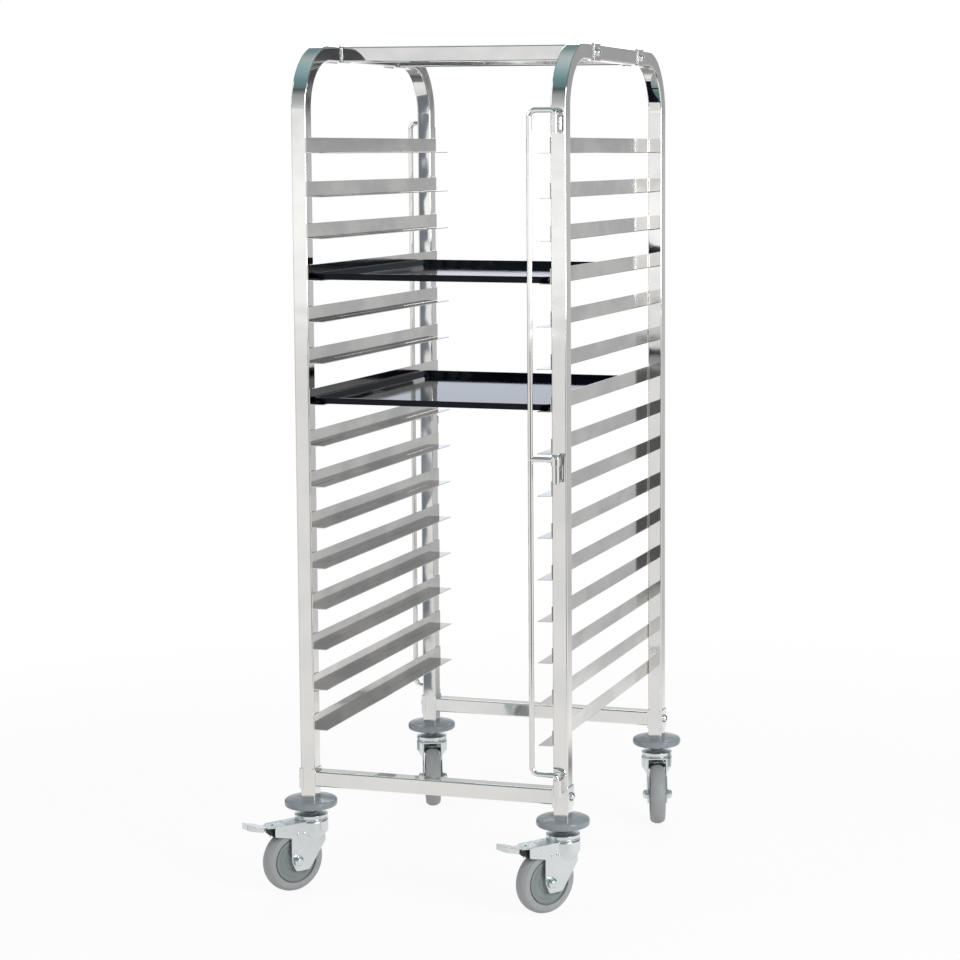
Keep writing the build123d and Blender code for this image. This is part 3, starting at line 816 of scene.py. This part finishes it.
def peg(radius, low, high, low_round=0.0, high_round=0.0):
    """The outline of a round peg."""
    return [(0, low, 0), (radius, low, low_round), (radius, high, high_round), (0, high, 0)]


# %% Turning an outline
def turned(form, outline, place, steps=64):
    """Spins a closed outline about Z, then puts it in its place; zero radii become poles."""
    reach = form.verts.layers.float.get("reach") or form.verts.layers.float.new("reach")
    rings = []
    for r, z in outline:
        count = 1 if r < 1e-7 else steps
        ring = []
        for k in range(count):
            angle = 2 * math.pi * k / steps
            vert = form.verts.new(place @ Vector((r * math.cos(angle), r * math.sin(angle), z)))
            vert[reach] = r
            ring.append(vert)
        rings.append(ring)
    faces = []
    for first, second in zip(rings, rings[1:] + rings[:1]):
        if len(first) == 1 and len(second) == 1:
            continue
        for k in range(steps):
            quad = [first[k % len(first)], first[(k + 1) % len(first)]]
            quad += [second[(k + 1) % len(second)], second[k % len(second)]]
            faces.append(form.faces.new(list(dict.fromkeys(quad))))
    bmesh.ops.recalc_face_normals(form, faces=faces)


def to_mesh(form, name, sharp=35):
    mesh = bpy.data.meshes.new(name)
    form.to_mesh(mesh)
    form.free()
    mesh.shade_smooth()
    mesh.set_sharp_from_angle(angle=math.radians(sharp))
    return mesh


# %% Both rods, each with its strut and knuckle
arm_rise, upper_pin, strut_rise = 0.0403, 0.035, 0.011
bar, strut_radius = bar_sizes["Radius"], 0.0049
knuckle = rounded(peg(0.009, 0, 0.019, 0.0008, 0.005), 6)
pin = rounded(peg(bar, -0.0353, 0.001, 0.0008))
for end in ("front", "rear"):
    node = f"{end}_rod"
    low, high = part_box(node)
    pin_x, pin_y, knuckle_low = joints[f"{end}_rod_swing"]["pos_m"]
    reach_x = low.x + bar
    sleeve_low, sleeve_high = [corner.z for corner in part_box(f"{end}_rod_sleeves")]
    arm_low, arm_high = sleeve_low + arm_rise, high.z - bar
    path = [
        (pin_x, pin_y, low.z),
        (pin_x, pin_y, arm_low),
        (reach_x, pin_y, arm_low),
        (reach_x, pin_y, arm_high),
        (pin_x, pin_y, arm_high),
        (pin_x, pin_y, sleeve_high - upper_pin),
    ]
    mesh = settle(node, line_mesh(node, path), growth=(bar_tree, bar_sizes))
    form = bmesh.new()
    form.from_mesh(mesh)
    strut_place = Matrix.Translation((reach_x, pin_y, knuckle_low + strut_rise))
    lying = strut_place @ Matrix.Rotation(math.pi / 2, 4, "Y")
    turned(form, rounded(peg(strut_radius, 0, pin_x - reach_x)), lying, 24)
    upright = Matrix.Translation((pin_x, pin_y, knuckle_low))
    turned(form, knuckle, upright, 48)
    turned(form, pin, upright, 24)
    mesh = settle(node, to_mesh(form, node, 50))
    add_piece(f"{end}_retaining_rod", mesh, polished_steel, node, [node])

# %% [markdown]
# ## Sheet and machined pieces
#
# Rails, saddles, sleeves, forks, axles, pedals and trays keep the measured shape. A copy of
# each is merged into clean faces, its edges get the small rounding that real sheet has, and
# its flat faces are kept flat in the shading. The round edges catch the light as thin lines.


# %% A measured piece with eased edges
MERGE_WITHIN, FLAT_WITHIN = 2e-6, math.radians(0.8)


def eased(name, nodes, material, body, edge, sharp=EDGE_ANGLE, extra=None):
    """The measured nodes in one clean mesh; extra is a function and the castor it works on."""
    form = bmesh.new()
    for node in nodes:
        form.from_mesh(frame["nodes"][node].data)
    bmesh.ops.remove_doubles(form, verts=form.verts, dist=MERGE_WITHIN)
    bmesh.ops.dissolve_limit(form, angle_limit=FLAT_WITHIN, verts=form.verts, edges=form.edges)
    if extra:
        change, corner = extra
        change(form, corner)
    mesh = settle(name, to_mesh(form, name, sharp), edge)
    return add_piece(name, mesh, material, body, nodes)


# %% Rails, saddles and sleeves
for end in ("front", "rear"):
    for level in ("top", "bottom"):
        node = f"{end}_{level}_rail"
        eased(f"{node}_tube", [node], polished_steel, "frame", 0.0003)
    node = f"{end}_rod_sleeves"
    eased(f"{end}_hinge_sleeves", [node], polished_steel, "frame", 0.0004)
eased("clasping_saddles", ["outer_saddles"], polished_steel, "frame", 0.0003)

# %% [markdown]
# ## Domed bolts
#
# Eight bolts draw the saddles together. Their domes are turned from the outline of a real
# domed head, with a small key socket in the middle.

# %% Domed bolts
form = bmesh.new()
rails = [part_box(f"{end}_{level}_rail") for end in ("front", "rear") for level in ("top", "bottom")]
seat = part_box("outer_saddles")[1].x
dome = [
    (0, -0.042, 0),
    (0.004, -0.042, 0.0005),
    (0.004, 0, 0),
    (0.0085, 0, 0.0004),
    (0.0085, 0.0016, 0.0010),
    (0.0066, 0.0050, 0.0020),
    (0.0032, 0.0064, 0.0003),
    (0.0026, 0.0034, 0.0002),
    (0, 0.0032, 0),
]
for low, high in rails:
    middle = (low + high) / 2
    for side in (-1, 1):
        turn_out = Matrix.Rotation(side * math.pi / 2, 4, "Y")
        place = Matrix.Translation((side * seat, middle.y, middle.z)) @ turn_out
        turned(form, rounded(dome), place, 40)
mesh = settle("domed_bolts", to_mesh(form, "domed_bolts"))
add_piece("domed_bolts", mesh, polished_steel, "frame", ["saddle_bolts"])

# %% [markdown]
# ## Trays
#
# A tray is one pressed sheet: a flat floor, flared walls and a rim folded flat. The measured
# shape is right, so it only needs eased edges and its coat.

# %% Trays
for level in ("upper", "lower"):
    node = f"{level}_tray"
    eased(f"{level}_black_tray", [node], tray_black, node, 0.0003, 28)

# %% [markdown]
# ## Castors
#
# All four castors share their pieces, and each stands at its own heading. The joints of the
# measured model say where the swivel axis and the wheel's centre are, so the pieces are
# drawn once about an axis at the origin and carried there by a matrix.

# %% Where each castor stands
corners = ("front_left", "front_right", "rear_left", "rear_right")
onto_side = Matrix.Rotation(-math.pi / 2, 4, "X")
stands, wheels = {}, {}
for corner in corners:
    swivel = Vector(joints[f"{corner}_swivel"]["pos_m"])
    centre = Vector(joints[f"{corner}_roll"]["pos_m"])
    trail = centre - swivel
    heading = math.atan2(trail.y, trail.x)
    turn_to = Matrix.Rotation(heading, 4, "Z")
    stands[corner] = Matrix.Translation((swivel.x, swivel.y, 0)) @ turn_to
    wheels[corner] = Matrix.Translation(centre) @ turn_to @ onto_side
    print(corner, "faces", round(math.degrees(heading), 1), "degrees")

# %% Bumper discs
half_disc = [
    (0.0093, 0.0100, 0.0004),
    (0.0280, 0.0100, 0.0200),
    (0.0515, 0.0068, 0.0060),
]
disc_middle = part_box("front_left_bumper")[1].z - half_disc[0][1]
disc = [(r, disc_middle - z, bend) for r, z, bend in half_disc]
disc += [(r, disc_middle + z, bend) for r, z, bend in reversed(half_disc)]
for corner in corners:
    form = bmesh.new()
    post = Matrix.Translation(Vector((*stands[corner].translation.xy, 0)))
    turned(form, rounded(disc, 6), post, 96)
    mesh = settle(f"{corner}_disc", to_mesh(form, f"{corner}_disc"))
    node = f"{corner}_bumper"
    add_piece(f"{corner}_bumper_disc", mesh, bumper_grey, "frame", [node])

# %% Outlines of the hub and the tyre
half_hub = [
    (0.00505, 0.0165, 0.0004),
    (0.0130, 0.0165, 0.0010),
    (0.0145, 0.0120, 0.0015),
    (0.0200, 0.0110, 0.0005),
    (0.0205, 0.0103, 0.0003),
    (0.0215, 0.0103, 0.0003),
    (0.0220, 0.0110, 0.0005),
    (0.0325, 0.0110, 0.0015),
    (0.0350, 0.0130, 0.0010),
    (0.0420, 0.0130, 0.0005),
]
half_tyre = [
    (0.0420, 0.0130, 0.0002),
    (0.0424, 0.0095, 0.0003),
    (0.0444, 0.0095, 0.0003),
    (0.0448, 0.0146, 0.0006),
    (0.0458, 0.0154, 0.0006),
    (0.0500, 0.0160, 0.0015),
    (0.0560, 0.0154, 0.0030),
    (0.0605, 0.0100, 0.0030),
    (0.0622, 0.0045, 0.0050),
]
tread_middle = (0.0625, 0.0, 0.0)


def both_sides(half, *edge):
    """The outline of a wheel piece: one side, the middle of its rim, then the mirrored side."""
    return half + list(edge) + [(r, -z, bend) for r, z, bend in reversed(half)]


# %% Hubs and tyres
hub, tyre = both_sides(half_hub), both_sides(half_tyre, tread_middle)
for corner in corners:
    for part, outline, finish in (("hub", hub, hub_grey), ("tyre", tyre, tyre_grey)):
        form = bmesh.new()
        turned(form, rounded(outline, 4), wheels[corner], 96)
        name = f"{corner}_wheel_{part}"
        mesh = settle(name, to_mesh(form, name, 40))
        add_piece(name, mesh, finish, f"{corner}_wheel", [f"{corner}_{part}"])

# %% [markdown]
# ## Small details of the castors
#
# Rivets hold the brake's bracket to the fork, and the ends of the axle are domed. The foot
# plate of the brake looks thick because its rim is rolled under, and its rubber shoe narrows
# towards the wheel. Each is a small change made while the measured mesh is being cleaned.
# Lengths along a castor count from its swivel axis, in the direction of its heading.

# %% Rivets and domed axle ends
rivet = [(0, -0.0008, 0), (0.0037, -0.0008, 0), (0.0037, 0.0012, 0.0006)]
rivet += [(0.0022, 0.0014, 0.0003), (0.0016, 0.0002, 0), (0, 0.0002, 0)]
rivet_spots, cheek = ((0.0407, 0.1146), (0.0275, 0.1143)), 0.0215
nut_dome = [(0, -0.0045, 0), (0.0100, -0.0045, 0), (0.0097, -0.001, 0.0010)]
nut_dome += [(0.0062, 0.0024, 0.0024), (0, 0.0034, 0)]


def on_sides(form, corner, outline, x, z, out, steps):
    """Sets a turned detail on both sides of a castor, at a distance out from its middle."""
    for side in (-1, 1):
        sideways = Matrix.Rotation(-side * math.pi / 2, 4, "X")
        place = Matrix.Translation((x, side * out, z)) @ sideways
        turned(form, rounded(outline), stands[corner] @ place, steps)


def add_rivets(form, corner):
    for x, z in rivet_spots:
        on_sides(form, corner, rivet, x, z, cheek, 20)


def add_domes(form, corner):
    back = stands[corner].inverted()
    out = max(abs((back @ vert.co).y) for vert in form.verts)
    centre = back @ Vector(joints[f"{corner}_roll"]["pos_m"])
    on_sides(form, corner, nut_dome, centre.x, centre.z, out, 28)


# %% Rolled rim and tapered shoe
rim_start, rim_run, rim_drop = 0.108, 0.012, 0.0075
toe_start, toe_run, toe_narrowing, toe_rise = 0.080, 0.017, 0.25, 0.006


def faces_down(vert, slope):
    return any(face.normal.z < slope for face in vert.link_faces)


def roll_rim(form, corner):
    back = stands[corner].inverted()
    for vert in form.verts:
        x = (back @ vert.co).x
        if x > rim_start and faces_down(vert, -0.6):
            vert.co.z -= rim_drop * min((x - rim_start) / rim_run, 1.0)


def taper_shoe(form, corner):
    back = stands[corner].inverted()
    for vert in form.verts:
        spot = back @ vert.co
        ahead = max(0.0, min((spot.x - toe_start) / toe_run, 1.0))
        spot.y *= 1.0 - toe_narrowing * ahead
        spot.z += toe_rise * ahead if faces_down(vert, -0.3) else 0.0
        vert.co = stands[corner] @ spot


# %% Forks, axles, stems and brakes
def castor_piece(corner, name, node, body, finish=zinc_plate, change=None):
    extra = (change, corner) if change else None
    eased(f"{corner}_{name}", [f"{corner}_{node}"], finish, body, 0.0004, extra=extra)


for corner in corners:
    castor, brake = f"{corner}_castor", f"{corner}_brake"
    braked = f"{corner}_brake_press" in joints
    castor_piece(corner, "pressed_fork", "fork", castor, change=add_rivets if braked else None)
    castor_piece(corner, "axle_bolt", "axle", castor, change=add_domes)
    castor_piece(corner, "stem_and_cap", "stem", "frame")
    if braked:
        castor_piece(corner, "brake_lever", "pedal", brake, change=roll_rim)
        castor_piece(corner, "brake_shoe", "shoe", brake, brake_rubber, taper_shoe)

# %% Overall size
low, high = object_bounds()
